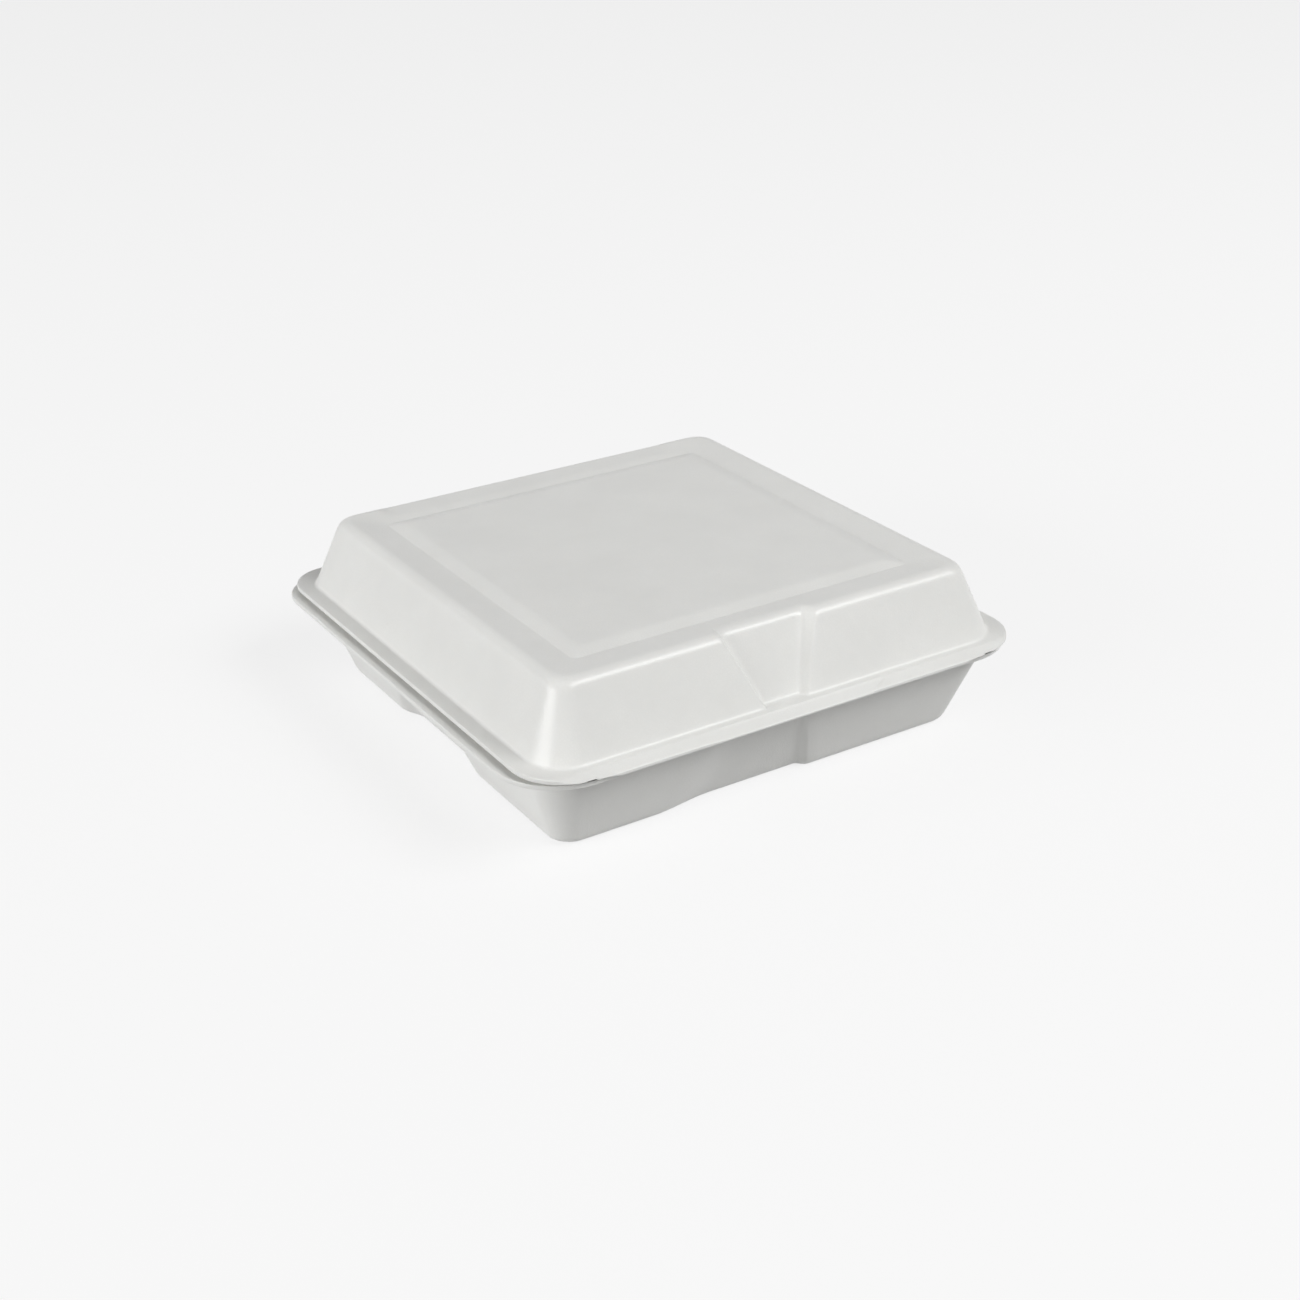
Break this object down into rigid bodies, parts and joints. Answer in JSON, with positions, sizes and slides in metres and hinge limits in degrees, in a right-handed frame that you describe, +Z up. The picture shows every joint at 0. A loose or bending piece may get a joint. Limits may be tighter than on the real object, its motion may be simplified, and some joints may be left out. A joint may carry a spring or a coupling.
{
  "type": "foam clamshell container",
  "caption": "Square hinged takeaway container of white foamed polystyrene, closed, with a channelled lid top, thumb relief and front lip.",
  "frame": {"origin": "centre of the container in plan, on the surface that the tray stands on", "axes": "+Z up; +X along the hinge, to the right seen from the opening side; the hinge is at +Y and the lip at -Y"},
  "size_m": [0.24, 0.234, 0.073],
  "materials": {
    "foam_sheet": "satin skin of formed expanded polystyrene sheet"
  },
  "bodies": {
    "tray": {"base_tray": "foam_sheet"},
    "lid": {"hinged_lid": "foam_sheet"}
  },
  "joints": [
    {"name": "lid_hinge", "type": "hinge", "parent": "tray", "child": "lid", "pos_m": [0, 0.11705, 0.041], "axis": [-1, 0, 0], "range_deg": [0, 180]}
  ]
}
